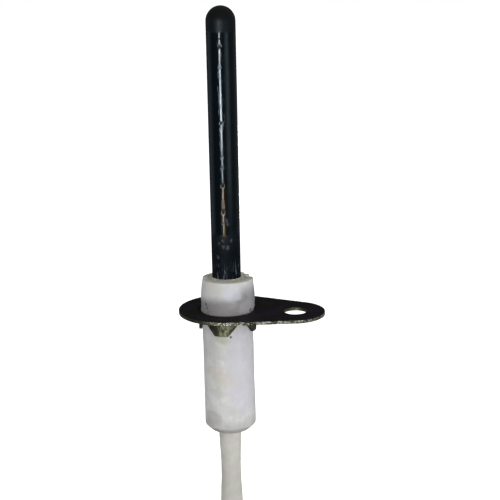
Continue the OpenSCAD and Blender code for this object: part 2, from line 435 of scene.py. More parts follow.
LEAD_D = 3.0
FOLD_R = 9.5
HANK_STEP = 3.1
RUN_TOP, RUN_LOW = -69.0, -129.0
WIRE_ROUTE = [
    (0, 0, -21), (0, 0, -28), (0, 0, -35), (0, 0, -42),
    (0, 0, -48), (-0.08, 0, -53), (-0.3, 0, -55.5), (-0.5, 0, -58),
]
HANK_ENTRY = [
    (-0.9, 0, -60), (-1.9, 0, -63), (-3.4, 0, -66.3), (-5.2, 0, -69.8),
    (-6.9, 0, -73.2), (-8.3, 0, -76.6), (-9.2, 0, -80), (-9.5, 0, -84),
]
TAIL_ROUTE = [
    (-9.5, 6.2, -69), (-9.5, 6.2, -75), (-9.5, 6.2, -81), (-9.5, 6.2, -87),
    (-9.5, 6.6, -91), (-9.5, 7.2, -94), (-9.5, 7.9, -97), (-9.5, 8.2, -100),
    (-9.5, 8.3, -103), (-9.5, 8.3, -110), (-9.5, 8.3, -116), (-9.5, 8.3, -121.9),
]


def hank_turn(level):
    """One turn of the hank: down the left run, round, up the right one and over the top, where it
    steps one diameter back."""
    y = level * HANK_STEP
    points = [(-FOLD_R, y, z) for z in np.linspace(-90 if level == 0 else RUN_TOP - 3, RUN_LOW, 8)]
    points += [(x, y, z) for x, z in arc((0, RUN_LOW), FOLD_R, 180, 360, 14)[1:]]
    points += [(FOLD_R, y, z) for z in np.linspace(RUN_LOW + 6, RUN_TOP - 12, 7)]
    over = [(FOLD_R, RUN_TOP - 9), (FOLD_R, RUN_TOP - 4.5)] + arc((0, RUN_TOP), FOLD_R, 0, 180, 14)
    for i, (x, z) in enumerate(over):
        share = min(1.0, (i + 1) / 9)
        points.append((x, y + HANK_STEP * share * share * (3 - 2 * share), z))
    return points


def lead_path():
    route = WIRE_ROUTE + HANK_ENTRY
    for level in (0, 1):
        route = route + hank_turn(level)
    return resample(route + TAIL_ROUTE[1:], 0.6)


def make_lead(material):
    path = lead_path()
    obj = sweep("lead_cord", path, circle(LEAD_D / 2, 24), material)
    return obj, path


# ---------------- materials


ROD_R = 3.175
NOTCHES = [  # height, half height and depth of each break in the rod's bright line
    (57.8, 0.40, 0.75), (53.4, 0.35, 0.30), (45.4, 0.30, 0.20), (41.75, 0.40, 0.75), (40.5, 0.60, 0.15),
    (37.3, 0.90, 0.10), (34.45, 0.35, 0.40), (32.2, 0.30, 0.60), (28.3, 0.60, 1.10), (24.2, 1.20, 0.28),
    (22.6, 0.75, 0.90), (19.95, 0.30, 0.35),
]
FLECKS = [  # angle, height and radius of the pale flecks near the rod's foot
    (-72, 20.7, 0.36), (-68, 19.8, 0.36), (-89, 16.2, 0.30), (-87, 14.8, 0.36), (-70, 14.6, 0.42),
    (-55, 16.1, 0.30), (-104, 15.5, 0.26), (-110, 12.4, 0.36),
    (30, 13.0, 0.40), (95, 17.0, 0.40), (150, 12.0, 0.36), (-165, 14.5, 0.36),
]


def rod_material():
    m = Shade("rod_oxide", Specular_IOR_Level=0.05)
    z = m.axis(2)
    base = m.mix(m.noise(3, 4), (0.0004, 0.0016, 0.0030), (0.0016, 0.0034, 0.0050))
    tip = m.fade(z, 59, 66)
    base = m.mix(m.times(tip, m.noise(1.5, 3)), base, (0.0055, 0.0038, 0.0024))
    long_noise = m.fade(m.noise(0.7, 4, 0.6, (1, 1, 6)), 0.35, 0.65)
    stain = m.times(m.spot(on_side(-83, ROD_R, 23), 0.85, 0.3, (1, 1, 9)), long_noise)
    base = m.mix(stain, base, (0.013, 0.007, 0.0025))
    low = m.fade(z, 12.5, 8.5)
    scratches = m.fade(m.noise(0.34, 3, 0.6, (1, 1, 7)), 0.55, 0.68)
    base = m.mix(m.times(low, scratches), base, (0.070, 0.080, 0.102))
    for angle, height, radius in FLECKS:
        fleck = m.spot(on_side(angle, ROD_R, height), radius, 1.7, (1, 1, 1.3), 0.22)
        base = m.mix(fleck, base, (0.060, 0.066, 0.073), 0.7)
    fine = m.fade(m.noise(0.25, 3, 0.65, (1, 1, 2.2), 0.3, (1, 6, 3)), 0.66, 0.73)
    base = m.mix(m.times(low, fine), base, (0.12, 0.13, 0.15), 0.5)
    m.colour(base)
    tint = m.mix(stain, (0.80, 0.92, 1.0), (1.0, 0.76, 0.50))
    dull = m.times(m.fade(z, 16.5, 12.5), 0.85)
    m.put(m.shader.inputs["Specular Tint"], m.mix(dull, tint, (0.34, 0.38, 0.43)))
    rough = m.times(m.noise(0.8, 4, 0.6, (1, 1, 3)), 0.07)
    foot = m.plus(z, m.times(m.noise(1.2, 3), 2.4))
    rough = m.plus(m.plus(rough, 0.08), m.times(m.fade(foot, 19.4, 17.6), 0.55))
    burnt = m.fade(m.plus(z, m.times(m.noise(0.5, 2), 0.5)), 60.5, 61.2)
    rough = m.plus(rough, m.times(burnt, 0.36))
    nicks = m.fade(m.noise(0.45, 2, 0.5, (3, 3, 0.35)), 0.68, 0.76)
    for height, half, depth in NOTCHES:
        pit = m.spot(on_side(-84, ROD_R, height), 1.0, 0.12, (0.42, 0.9, half), 0.4)
        nicks = m.math("MAXIMUM", nicks, m.times(pit, depth))
    m.roughness(m.plus(rough, m.times(nicks, 0.5)))
    m.bump(nicks, -0.03)
    m.bump(m.noise(2.5, 2, 0.5, (1, 1, 2.5)), 0.012)
    m.bump(scratches, 0.006)
    return m.material


STAINS_AND_SHADE = [  # angle, distance from the axis, height, radius, stretch, colour and share of each stain, and of one patch of painted shade
    (-92, 5.7, -5.3, 1.5, (1.2, 1, 1.1), (0.36, 0.36, 0.25), 0.5),
    (-71, 5.7, -5.0, 0.40, (1, 1, 1), (0.05, 0.05, 0.045), 0.85),
    (-112, 5.7, -9.0, 1.6, (1, 1, 1.6), (0.44, 0.45, 0.42), 0.45),
    (-94, 5.7, -8.8, 1.2, (1, 1, 1.8), (0.42, 0.43, 0.42), 0.40),
    (-108, 5.7, -13.4, 2.4, (1.4, 1, 0.7), (0.54, 0.48, 0.42), 0.40),
    (-92, 5.7, -15.2, 2.8, (1.4, 1, 0.8), (0.47, 0.46, 0.39), 0.45),
    (-72, 5.7, -15.2, 2.6, (1.3, 1, 0.8), (0.53, 0.50, 0.43), 0.45),
    (4, 5.7, -11.5, 1.3, (1, 1, 4.5), (0.36, 0.36, 0.42), 0.50),
    (2, 5.7, -20.5, 1.5, (1, 1, 3.5), (0.38, 0.37, 0.44), 0.55),
    (-60, 5.7, -18.5, 3.0, (1, 1, 1.2), (0.58, 0.54, 0.56), 0.40),
    (-38, 5.7, -13.0, 4.6, (1, 1, 2.6), (0.49, 0.48, 0.55), 0.55),
    (-122, 5.7, -24.4, 2.6, (1.2, 1, 0.8), (0.37, 0.34, 0.33), 0.55),
    (-112, 5.0, -27.6, 1.8, (1.2, 1, 0.5), (0.22, 0.20, 0.09), 0.85),
    # painted shade on the front of the downward-facing chamfer, not a stain
    (-75, 4.9, -27.7, 3.6, (1, 1, 0.5), (0.42, 0.41, 0.39), 0.40),
    (-64, 5.9, 4.8, 2.6, (1, 1, 0.8), (0.49, 0.51, 0.57), 0.6),
    (-20, 5.9, 5.2, 1.8, (1, 1, 1.1), (0.42, 0.42, 0.47), 0.25),
    (-150, 5.9, 5.0, 2.0, (1, 1, 1.2), (0.46, 0.46, 0.47), 0.5),
    (-110, 5.9, 6.2, 1.7, (1, 1, 0.5), (0.50, 0.49, 0.43), 0.6),
    (-130.5, 5.95, 2.0, 0.48, (1, 1, 1.0), (0.04, 0.037, 0.032), 0.85),
    (-127, 5.95, 1.2, 0.42, (1, 1, 1.0), (0.06, 0.055, 0.048), 0.7),
    (-124, 5.95, 0.3, 0.40, (1, 1, 1.2), (0.09, 0.085, 0.075), 0.4),
    (-30, 5.95, 1.3, 2.7, (1, 1, 0.8), (0.31, 0.30, 0.315), 0.70),
    (-66, 5.95, 2.5, 1.4, (1, 1, 0.8), (0.30, 0.29, 0.30), 0.50),
    (-20, 5.95, 0.5, 0.55, (1, 1, 1.0), (0.06, 0.06, 0.06), 0.7),
    (5, 5.4, 7.0, 1.1, (1, 1, 1), (0.22, 0.21, 0.19), 0.7),
    (170, 5.4, 7.0, 1.3, (1, 1, 0.5), (0.20, 0.20, 0.20), 0.7),
    (40, 5.7, -9.0, 2.8, (1, 1, 1.6), (0.40, 0.38, 0.32), 0.5),
    (120, 5.7, -20.0, 3.2, (1, 1, 1.4), (0.42, 0.38, 0.34), 0.5),
    (75, 5.9, 4.0, 2.0, (1, 1, 1), (0.34, 0.34, 0.30), 0.5),
]


def ceramic_material():
    m = Shade("ceramic_fired", Specular_IOR_Level=0.2)
    z = m.axis(2)
    base = m.mix(m.fade(m.noise(2.4, 4, 0.6), 0.3, 0.7), (0.475, 0.475, 0.455), (0.61, 0.61, 0.60))
    brushed = m.noise(0.9, 3, 0.6, (1, 1, 7))
    base = m.mix(m.fade(brushed, 0.35, 0.65), base, (0.50, 0.50, 0.505), 0.5)
    # the darker lower collar, part painted shade from the plate and part grime, ends at a ragged line
    # that rises to the right, more steeply past x = 2
    line = m.plus(m.times(m.axis(0), -0.10), m.times(m.noise(1.6, 3), 0.7))
    rise = m.times(m.math("MAXIMUM", m.math("SUBTRACT", m.axis(0), 2.0), 0.0), -0.78)
    line = m.plus(m.plus(line, m.math("MAXIMUM", rise, -1.45)), -0.20)
    collar_top = m.fade(z, -0.1, 0.6)
    base = m.mix(collar_top, base, (0.445, 0.44, 0.445), 0.45)
    # painted shade with grime on the collar's lower part, next to the plate
    collar_shade_and_grime = m.times(m.fade(m.plus(z, line), 5.0, 2.4), m.fade(z, -0.6, -0.1))
    base = m.mix(collar_shade_and_grime, base, (0.170, 0.160, 0.162), 0.85)
    for angle, r, height, radius, stretch, tint, share in STAINS_AND_SHADE:
        base = m.mix(m.spot(on_side(angle, r, height), radius, 0.35, stretch), base, tint, share)
    rim = m.plus(z, m.times(m.axis(1), 0.026))
    top = m.scaled(m.noise(1.4, 3), 0.45, 0.45)
    base = m.mix(m.times(m.fade(rim, 6.90, 7.06), top), base, (0.25, 0.245, 0.195))
    # the lower end is darker towards the bottom, and its downward-facing chamfer gets painted shade,
    # mottled by noise
    chamfer_shade = m.scaled(m.noise(1.8, 3), 0.5, 0.20)
    base = m.mix(m.fade(z, -23.8, -26.2), base, (0.29, 0.28, 0.27), 0.46)
    base = m.mix(m.times(m.fade(z, -26.4, -27.2), chamfer_shade), base, (0.34, 0.33, 0.30))
    pits = m.fade(m.cells(0.9), 0.13, 0.06)
    base = m.mix(pits, base, (0.22, 0.20, 0.17), 0.35)
    m.colour(base)
    m.roughness(m.scaled(m.noise(1.4, 3), 0.25, 0.6))
    m.bump(m.noise(0.45, 4, 0.6), 0.03)
    m.bump(pits, 0.05)
    return m.material


def cement_material():
    m = Shade("refractory_cement", Specular_IOR_Level=0.2)
    base = m.mix(m.fade(m.noise(0.7, 4, 0.65), 0.35, 0.65), (0.20, 0.195, 0.15), (0.36, 0.355, 0.30))
    base = m.mix(m.fade(m.cells(0.5), 0.2, 0.1), base, (0.06, 0.06, 0.05))
    m.colour(base)
    m.roughness(m.scaled(m.noise(0.6, 3), 0.2, 0.75))
    m.bump(m.noise(0.3, 4, 0.65), 0.09)
    return m.material


HOLE_X = mounts["screw_hole"]["pos_m"][0] / MM


def bracket_material():
    m = Shade("sheet_oxide", Specular_IOR_Level=0.03)
    z = m.axis(2)
    base = m.mix(m.noise(2.2, 4), (0.0036, 0.0040, 0.0038), (0.0080, 0.0079, 0.0066))
    tint = m.fade(m.noise(3.5, 3, 0.5, (1, 1, 1), 0.8), 0.48, 0.66)
    base = m.mix(tint, base, (0.0115, 0.0070, 0.0185), 0.7)
    rust = m.fade(m.noise(1.3, 4, 0.65, (1, 1, 1), 0.5, (7, 3, 1)), 0.58, 0.70)
    base = m.mix(rust, base, (0.022, 0.016, 0.011), 0.5)
    teeth = m.fade(z, -0.9, -1.3)
    grime = m.fade(m.noise(0.6, 4, 0.7, (1, 1, 2.4), 0.6), 0.40, 0.62)
    steel = m.mix(grime, (0.012, 0.013, 0.006), (0.056, 0.057, 0.037))
    shine = m.fade(m.noise(0.28, 3, 0.6, (1, 1, 1), 0.3, (2, 7, 4)), 0.63, 0.71)
    steel = m.mix(shine, steel, (0.30, 0.30, 0.24))
    shade = m.spot(on_side(-106, 6.4, -2.6), 1.5, 0.4, (1, 1, 1.6))
    steel = m.mix(shade, steel, (0.013, 0.013, 0.006), 0.8)
    base = m.mix(teeth, base, steel)
    edge = m.math("MAXIMUM", m.edge_wear(), m.cut_edge())
    bright = m.fade(m.noise(0.42, 4, 0.75, (1, 1, 1), 0.3, (9, 2, 5)), 0.44, 0.66)
    bright = m.times(bright, m.math("ADD", m.fade(m.axis(0), -7, 4), 0.03, True))
    bare = m.mix(bright, (0.018, 0.018, 0.010), (0.22, 0.22, 0.18))
    in_hole = m.spot((HOLE_X, 0, -0.35), 3.3, 0.0, (1, 1, 3))
    bare = m.mix(in_hole, bare, (0.034, 0.033, 0.019), 0.95)
    base = m.mix(edge, base, bare)
    m.colour(base)
    m.put(m.shader.inputs["Metallic"], m.times(m.math("MAXIMUM", teeth, edge), 0.5))
    m.roughness(m.scaled(m.noise(1.0, 4, 0.6), 0.28, 0.34))
    m.bump(m.noise(0.5, 4, 0.6), 0.012)
    m.bump(m.times(shine, teeth), 0.03)
    m.bump(m.fade(m.noise(0.3, 2, 0.5, (5, 0.6, 1)), 0.62, 0.70), 0.008)
    return m.material


def sleeving_material():
    m = Shade("glass_sleeving", Specular_IOR_Level=0.25, Sheen_Weight=0.15)
    base = m.mix(m.fade(m.noise(2.2, 4, 0.6), 0.3, 0.7), (0.44, 0.43, 0.39), (0.53, 0.52, 0.49))
    green = m.fade(m.noise(2.6, 2, 0.5, (1, 1, 1.4), 0, (4, 9, 2)), 0.52, 0.68)
    base = m.mix(green, base, (0.46, 0.48, 0.37), 0.45)
    pink = m.fade(m.noise(2.4, 2, 0.5, (1, 1, 1.2), 0, (9, 1, 6)), 0.55, 0.70)
    base = m.mix(pink, base, (0.50, 0.44, 0.41), 0.4)
    # the sleeve is darker in a band on its lower part, from z = -29 down to z = -52
    lower_band = m.times(m.fade(m.axis(2), -29, -42), m.fade(m.axis(2), -52, -44))
    base = m.mix(lower_band, base, (0.27, 0.26, 0.235), 0.45)
    shaded = m.spot(on_side(-167, 2.4, -41), 0.8, 0.2, (1, 1, 8))
    base = m.mix(shaded, base, (0.20, 0.20, 0.235), 0.6)
    fibre = m.noise(0.12, 3, 0.6, (1, 1, 3))
    base = m.mix(fibre, base, (0.62, 0.61, 0.57), 0.25)
    m.colour(base)
    m.roughness(m.scaled(fibre, 0.2, 0.65))
    m.bump(fibre, 0.02)
    return m.material


def lead_material():
    m = Shade("lead_silicone", Specular_IOR_Level=0.4)
    base = m.mix(m.fade(m.noise(6, 3), 0.3, 0.7), (0.56, 0.55, 0.50), (0.63, 0.62, 0.58))
    dirt = m.fade(m.noise(1.8, 4, 0.65), 0.62, 0.74)
    base = m.mix(dirt, base, (0.36, 0.34, 0.28), 0.4)
    m.colour(base)
    m.roughness(m.scaled(m.noise(1.2, 3), 0.2, 0.38))
    m.bump(m.noise(0.35, 3), 0.01)
    return m.material


def nylon_material():
    m = Shade("nylon_natural", Specular_IOR_Level=0.5, Subsurface_Weight=0.15, Subsurface_Scale=0.001)
    base = m.mix(m.noise(4, 3), (0.70, 0.70, 0.63), (0.78, 0.78, 0.73))
    m.colour(base)
    m.roughness(m.scaled(m.noise(0.8, 3), 0.18, 0.32))
    m.bump(m.noise(0.25, 2, 0.5, (4, 4, 1)), 0.006)
    return m.material


def metal_material(name, dark, light, rough):
    m = Shade(name, Metallic=1.0)
    base = m.mix(m.fade(m.noise(0.9, 4, 0.6), 0.3, 0.7), dark, light)
    tarnish = m.fade(m.noise(0.5, 3, 0.6, (1, 1, 1), 0, (3, 3, 3)), 0.66, 0.76)
    base = m.mix(tarnish, base, (0.20, 0.17, 0.12))
    m.colour(base)
    m.roughness(m.plus(m.times(m.noise(0.4, 3, 0.6, (1, 1, 4)), 0.22), rough))
    m.bump(m.noise(0.18, 3, 0.5, (1, 1, 6)), 0.004)
    return m.material


def boot_material():
    m = Shade("boot_vinyl", Specular_IOR_Level=0.45)
    base = m.mix(m.noise(3, 3), (0.030, 0.036, 0.048), (0.048, 0.054, 0.066))
    scuffs = m.fade(m.noise(0.5, 3, 0.6, (1, 1, 5)), 0.66, 0.76)
    base = m.mix(scuffs, base, (0.13, 0.14, 0.15), 0.4)
    m.colour(base)
    m.roughness(m.scaled(m.noise(0.6, 3), 0.2, 0.36))
    m.bump(m.noise(0.3, 3), 0.012)
    return m.material


# ---------------- pieces


def make_rod(material):
    low, high = box_mm("sensing_rod")
    r, tip = high.x, high.z
    stem_r, end_z = 1.2, -7.0
    dome = [(0.0, tip)] + arc((0, tip - r), r, 90, 0, 23)[1:]
    shaft = split([(r, tip - r), (r, end_z + 0.3)], 0.6, closed=False)[1:]
    foot = [(r - 0.3, end_z), (stem_r, end_z), (stem_r, low.z), (0.0, low.z)]

    def change(radius, angle, z):
        if z < end_z + 0.2:
            return radius, z
        uneven = bumps((3 * math.cos(angle), 3 * math.sin(angle), z / 2.5), 2.2)
        return radius * (1 + 0.0016 * uneven), z

    return lathe("rod_piece", dome + shaft + foot, 128, material, change)


CHIPS = [  # angle, height, radius and depth of each chip in the insulator
    (-130.5, 2.0, 0.42, 0.2), (-127, 1.3, 0.38, 0.16), (28, 7.0, 1.3, 0.34), (52, 7.1, 0.7, 0.25),
    (-166, 7.1, 1.3, 0.26), (-141, 7.2, 0.5, 0.14), (-52, 7.2, 0.4, 0.12), (118, 7.0, 0.8, 0.22),
    (-71, -5.0, 0.3, 0.12), (-110, -27.3, 0.7, 0.2), (-40, -27.4, 0.5, 0.2), (80, -27.2, 0.9, 0.25),
]


def smooth(value, low, high):
    """0 below low, 1 above high, and smooth between."""
    t = min(1.0, max(0.0, (value - low) / (high - low)))
    return t * t * (3 - 2 * t)


def make_insulator(material):
    """The ceramic, a little out of true as fired: its collar leans and its top face isn't level."""
    low, high = box_mm("insulator")
    top, end, wide = high.z, low.z, high.x
    outside = [
        (4.4, top - 1.5, 0), (4.4, top, 0.1), (5.6, top, 0.16), (wide, 3.4, 0.7),
        (wide - 0.1, -0.1, 0.1), (5.64, -0.65, 0.1), (5.68, end + 1.3, 0.2), (4.35, end, 0.2),
        (3.8, end, 0.1),
        (3.8, end + 2.6, 0), (2.95, end + 2.6, 0), (2.95, -7, 0), (3.275, -7, 0), (3.275, top - 1.5, 0),
    ]
    profile = split(rounded(outside, 5), 0.28)

    def change(r, angle, z):
        if r < 4.2:
            return r, z
        at = (r * math.cos(angle), r * math.sin(angle), z)
        lean = 0.17 * smooth(z, -0.3, 0.6) + 0.07 * smooth(-z, 6, 9) + 0.09 * smooth(-z, 14, 26)
        new_r = r + 0.018 * bumps(at, 3.0) + 0.006 * bumps(at, 0.7) + lean * math.cos(angle)
        new_r += 0.07 * smooth(-z, 14, 26)
        new_z = z + smooth(z, top - 1.2, top - 0.1) * (0.14 - 0.026 * at[1] + 0.03 * bumps(at, 1.4))
        for chip_angle, chip_z, size, depth in CHIPS:
            across = r * math.remainder(angle - math.radians(chip_angle), 2 * math.pi)
            away = math.hypot(across, new_z - chip_z) / size + 0.2 * bumps(at, 0.6)
            if away < 1:
                bite = depth * (1 - away * away)
                new_r -= bite
                new_z -= 0.6 * bite if z > top - 0.5 else 0.0
        return new_r, new_z

    return lathe("insulator_piece", profile, 176, material, change)


def make_front_cement(material):
    low, high = box_mm("front_cement")
    brim = box_mm("insulator")[1].z
    corners = [
        (3.18, low.z, 0), (4.38, low.z, 0), (4.42, brim, 0.1), (3.62, brim + 0.04, 0.25),
        (3.18, high.z, 0.06),
    ]
    profile = split(rounded(corners), 0.1)

    def change(r, angle, z):
        if z < low.z + 0.3:
            return r, z
        at = (r * math.cos(angle), r * math.sin(angle), z)
        return r, z + 0.05 * bumps(at, 0.8) - 0.024 * at[1] + 0.03

    return lathe("front_cement_piece", profile, 128, material, change)


def make_rear_cement(material):
    """The plug of cement, from the sleeve to the insulator's wall, with an uneven end face."""
    low, high = box_mm("rear_cement")
    sleeve_low, sleeve_high = box_mm("lead_sleeve")
    sleeve_r = (sleeve_high.y - sleeve_low.y) / 2
    wall_r = 3.78
    end_face = [(r, low.z) for r in np.linspace(sleeve_r, wall_r, 7)]

    def change(r, angle, z):
        if z > low.z:
            return r, z
        return r, z + 0.08 + 0.05 * bumps((r * math.cos(angle), r * math.sin(angle), 3), 0.8)

    profile = end_face + [(wall_r, high.z), (sleeve_r, high.z)]
    return lathe("rear_cement_piece", profile, 96, material, change)


SHEET = 0.7
BEND_R = 1.0
TOOTH_R = 5.7
LAND_R = 6.3
LUG_R = 7.15
TOOTH_HALF, TIP_HALF = 3.9, 1.5
TOOTH_STRAIGHT_Z = -1.7
COLUMNS = 15
GRID = 0.6


def bracket_outline(disc_r, lug_x):
    lean = math.degrees(math.acos((disc_r - LUG_R) / lug_x))
    line = arc((0, 0), disc_r, lean, 360 - lean, 96) + arc((lug_x, 0), LUG_R, -lean, lean, 40)
    return split(line, 0.55)


def quarter_turn(quarter):
    """Cosine and sine of a number of quarter turns."""
    turn = math.radians(90 * quarter)
    return math.cos(turn), math.sin(turn)


def inner_outline():
    """The bracket's opening: four tooth roots on the bend's circle, and four lands between them."""
    bend_x = TOOTH_R + BEND_R
    land = math.degrees(math.asin(TOOTH_HALF / LAND_R))
    points = []
    for quarter in range(4):
        cos, sin = quarter_turn(quarter)
        root = [(math.sqrt(bend_x**2 - y * y), y) for y in np.linspace(-TOOTH_HALF, TOOTH_HALF, COLUMNS)]
        for x, y in root + arc((0, 0), LAND_R, land, 90 - land, 6):
            points.append((x * cos - y * sin, x * sin + y * cos))
    return points


def tooth_rows(depth):
    """Rows down a tooth from its root: radius and height of the face, radius and height of the
    back, and half width."""
    bend_x = TOOTH_R + BEND_R
    back = BEND_R - SHEET
    rows = []
    for a in np.linspace(90, 180, 8):
        c, s = math.cos(math.radians(a)), math.sin(math.radians(a))
        face_at = (bend_x + BEND_R * c, -BEND_R + BEND_R * s)
        rows.append((*face_at, bend_x + back * c, -BEND_R + back * s, TOOTH_HALF))
    for z in np.linspace(-BEND_R, -depth, 13)[1:]:
        share = max(0.0, (TOOTH_STRAIGHT_Z - z) / (depth + TOOTH_STRAIGHT_Z))
        half = TOOTH_HALF + (TIP_HALF - TOOTH_HALF) * share
        rows.append((TOOTH_R, z, TOOTH_R + SHEET, z, half))
    return rows


def in_loop(p, loop):
    """Whether a point is inside a closed line, by the sides that a ray from it crosses."""
    hit = False
    for a, b in zip(loop, loop[1:] + loop[:1]):
        if (a[1] > p.y) != (b[1] > p.y):
            crossing = (b[0] - a[0]) * (p.y - a[1]) / (b[1] - a[1]) + a[0]
            hit = hit != (p.x < crossing)
    return hit


def in_sheet(x, y, disc_r, lug_x, hole_r):
    """Whether a grid point is in the flat sheet, clear of its edges."""
    margin = 0.25
    opening_r = (LAND_R + TOOTH_R + BEND_R) / 2
    if math.hypot(x, y) < opening_r + margin or math.hypot(x - HOLE_X, y) < hole_r + margin:
        return False
    if math.hypot(x, y) < disc_r - margin or math.hypot(x - lug_x, y) < LUG_R - margin:
        return True
    slope = (disc_r - LUG_R) / lug_x
    return 0 < x < lug_x and abs(y) * math.sqrt(1 - slope * slope) + x * slope < disc_r - margin


def flat_sheet(disc_r, lug_x, hole_r):
    """Points and triangles of the flat sheet: its outline, its opening and its hole, on a grid."""
    hole = [(HOLE_X + x, y) for x, y in circle(hole_r, 56)]
    loops = [bracket_outline(disc_r, lug_x), inner_outline(), hole]
    flat = [Vector((float(p[0]), float(p[1]))) for loop in loops for p in loop]
    fixed = np.array([tuple(p) for p in flat])
    edges, start = [], 0
    for loop in loops:
        count = len(loop)
        edges += [(start + k, start + (k + 1) % count) for k in range(count)]
        start += count
    # a grid of near enough equal triangles, wider than the sheet
    for i in range(-20, 40):
        for j in range(-20, 21):
            p = ((i + 0.5 * (j % 2)) * GRID, j * GRID * 0.866)
            if in_sheet(*p, disc_r, lug_x, hole_r) and np.hypot(*(fixed - p).T).min() > 0.4 * GRID:
                flat.append(Vector(p))
    result = geometry.delaunay_2d_cdt(flat, edges, [], 0, 1e-6)
    plate, triangles = result[0], result[2]
    outline, *openings = loops
    kept = []
    for t in triangles:
        middle = sum((plate[k] for k in t), Vector((0, 0))) / 3
        if in_loop(middle, outline) and not any(in_loop(middle, loop) for loop in openings):
            kept.append(tuple(t))
    return plate, kept


def add_teeth(face, back, skin, depth):
    """Adds the four teeth, row by row, to the points of the sheet's two faces and its polygons."""
    find = {(round(p[0], 4), round(p[1], 4)): i for i, p in enumerate(face)}
    for quarter in range(4):
        cos, sin = quarter_turn(quarter)
        previous = None
        for r1, z1, r2, z2, half in tooth_rows(depth):
            row = []
            for s in np.linspace(-1, 1, COLUMNS):
                y = s * half
                x1, x2 = math.sqrt(r1 * r1 - y * y), math.sqrt(r2 * r2 - y * y)
                spot = (x1 * cos - y * sin, x1 * sin + y * cos)
                if previous is None:
                    row.append(find[(round(spot[0], 4), round(spot[1], 4))])
                    continue
                row.append(len(face))
                face.append((*spot, z1))
                back.append((x2 * cos - y * sin, x2 * sin + y * cos, z2))
            if previous:
                skin += [(previous[k], previous[k + 1], row[k + 1], row[k]) for k in range(COLUMNS - 1)]
            previous = row


def make_bracket(material):
    low, high = box_mm("mounting_bracket")
    hole_r = mounts["screw_hole"]["dims"]["r_mm"]
    plate, skin = flat_sheet(-low.x, high.x - LUG_R, hole_r)
    face = [(p.x, p.y, 0.0) for p in plate]
    back = [(p.x, p.y, -SHEET) for p in plate]
    add_teeth(face, back, skin, -low.z)
    return close_sheet("bracket_piece", face, back, skin, material)


def close_sheet(name, face, back, skin, material):
    """A closed solid from the two faces of a bent sheet that share their polygons."""
    used = {}
    for polygon in skin:
        for a, b in zip(polygon, polygon[1:] + polygon[:1]):
            key = (min(a, b), max(a, b))
            used[key] = None if key in used else (a, b)
    shift = len(face)
    faces = list(skin) + [tuple(shift + k for k in reversed(p)) for p in skin]
    faces += [(b, a, shift + a, shift + b) for pair in used.values() if pair for a, b in [pair]]
    obj = add_mesh(name, face + back, faces, material)
    bm = bmesh.new()
    bm.from_mesh(obj.data)
    bmesh.ops.delete(bm, geom=[v for v in bm.verts if not v.link_faces], context="VERTS")
    bm.to_mesh(obj.data)
    bm.free()
    bevel(obj, 0.07, 3, 50)
    for vertex in obj.data.vertices:
        at = vertex.co / MM
        vertex.co.z += 0.02 * MM * bumps((at.x, at.y, 0), 5.0, 2)
    return obj


YARNS, YARN_PITCH, YARN_LIFT = 28, 0.57, 0.07
WAIST_R, WAIST_Z, WAIST_L = 2.25, -38.3, 9.5


def braid(u, z):
    """How far out, up to 1, the braid's surface is at a share u of the way round and a height z: two
    sets of yarns that pass over and under each other."""
    a, b = YARNS * u + z / YARN_PITCH, YARNS * u - z / YARN_PITCH
    i, j = math.floor(a), math.floor(b)
    over = math.sin(math.pi * b) * (-1) ** i
    under = -math.sin(math.pi * a) * (-1) ** j
    crown_a = math.sqrt(1 - 0.85 * (2 * (a - i) - 1) ** 2) * (0.62 + 0.38 * over)
    crown_b = math.sqrt(1 - 0.85 * (2 * (b - j) - 1) ** 2) * (0.62 + 0.38 * under)
    return max(crown_a, crown_b)


def make_sleeve(material):
    """A braided sleeve with a waist. Its rows inside the cement are further apart."""
    low, high = box_mm("lead_sleeve")
    full_r = (high.y - low.y) / 2
    around, step, hidden_rows, bore = 196, 0.085, 24, 1.56
    outer_z = np.arange(high.z, low.z, -step)
    outer_z = outer_z[np.r_[0:hidden_rows:6, hidden_rows:len(outer_z)]]
    points = []
    for z in outer_z:
        share = min(1.0, abs(z - WAIST_Z) / WAIST_L)
        mean = WAIST_R + (full_r - WAIST_R) * (1 - math.cos(math.pi * share)) / 2
        for k in range(around):
            u = k / around
            angle = 2 * math.pi * u
            swell = 0.035 * bumps((2 * math.cos(angle), 2 * math.sin(angle), z), 2.2)
            r = mean - YARN_LIFT + YARN_LIFT * braid(u, z) + swell
            points.append((r * math.cos(angle), r * math.sin(angle), z))
    for z in (low.z + 0.12, low.z + 2.0, high.z):
        points += [(x, y, z) for x, y in circle(bore, around)]
    faces = tube_faces(len(outer_z) + 3, around, True)
    return add_mesh("sleeve_piece", points, faces, material, 75)


TIE_Z = -85.0
STRAP_T, STRAP_W = 0.9, 4.4


def strap_section():
    """The strap's (out, up) points: soft corners, and a shallow groove down its outer face."""
    half_w, half_t, soft = STRAP_W / 2, STRAP_T / 2, 0.18
    groove, lip = 0.12, 0.75
    return [
        (half_t, half_w - soft), (half_t - soft, half_w),
        (-half_t + soft, half_w), (-half_t, half_w - soft),
        (-half_t, -half_w + soft), (-half_t + soft, -half_w),
        (half_t - soft, -half_w), (half_t, -half_w + soft),
        (half_t - groove, -half_w + lip), (half_t - groove, half_w - lip),
    ]


